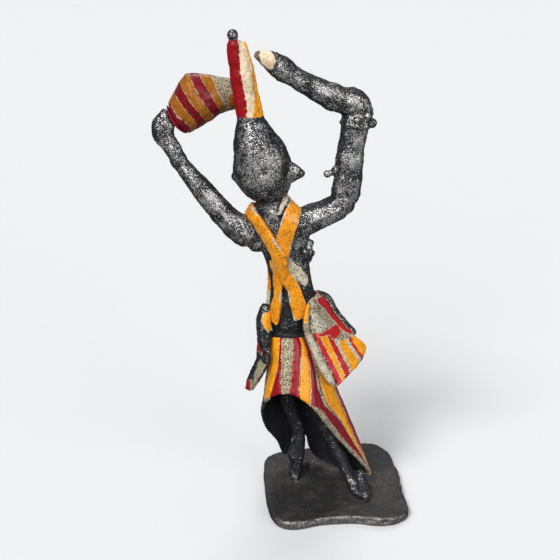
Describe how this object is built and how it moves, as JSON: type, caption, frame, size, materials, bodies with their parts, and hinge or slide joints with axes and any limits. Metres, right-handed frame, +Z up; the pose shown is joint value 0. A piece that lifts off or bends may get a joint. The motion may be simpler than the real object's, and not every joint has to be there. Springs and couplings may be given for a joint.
{
  "type": "dancing drummer figurine",
  "caption": "Rigid hand-painted cast-metal figurine of a dancing drummer with a striped skirt, tall cap and raised drum, on a square base plate.",
  "frame": {"origin": "middle of the base plate's underside", "axes": "+Z up; the dancer faces +Y and a little towards +X; the drum is held at -X"},
  "size_m": [0.0937, 0.0612, 0.1816],
  "materials": {
    "black_cast": "rough sand-cast metal under worn black paint, with bare silvery specks",
    "base_brown": "matt brown-black painted casting with a bare speckled front edge",
    "striped_enamel": "hand-painted red, orange and cream enamel stripes, chipped at the edges",
    "red_enamel": "glossy hand-brushed red enamel",
    "orange_enamel": "glossy hand-brushed orange enamel with small pits and cream edges",
    "cream_enamel": "matt cream enamel with dark specks",
    "bare_metal": "bare grey white metal, worn smooth"
  },
  "bodies": {
    "root": {"base_plate": "base_brown", "left_foot_pin": "bare_metal", "right_foot_pin": "bare_metal", "left_leg": "black_cast", "left_foot": "black_cast", "right_leg": "black_cast", "right_foot": "black_cast", "torso": "black_cast", "skirt": "striped_enamel", "right_hip_flap": "striped_enamel", "right_sash_roll": "red_enamel", "left_sash_roll": "black_cast", "left_hip_flap": "black_cast", "strap_under": "orange_enamel", "strap_over": "orange_enamel", "neck_scarf": "cream_enamel", "bead_string": "black_cast", "head": "black_cast", "right_ear": "black_cast", "left_ear": "black_cast", "cap_core": "cream_enamel", "cap_ridge_left": "red_enamel", "cap_ridge_right": "orange_enamel", "cap_tip": "bare_metal", "left_upper_arm": "black_cast", "left_forearm": "black_cast", "left_hand": "black_cast", "right_shoulder": "black_cast", "right_upper_arm": "black_cast", "right_elbow": "black_cast", "right_forearm": "black_cast", "right_hand": "black_cast", "right_armlet": "black_cast", "armlet_knot": "black_cast", "arm_charm": "black_cast", "drum_shell": "striped_enamel", "drum_head_wide": "cream_enamel", "drum_head_narrow": "cream_enamel"}
  },
  "joints": []
}
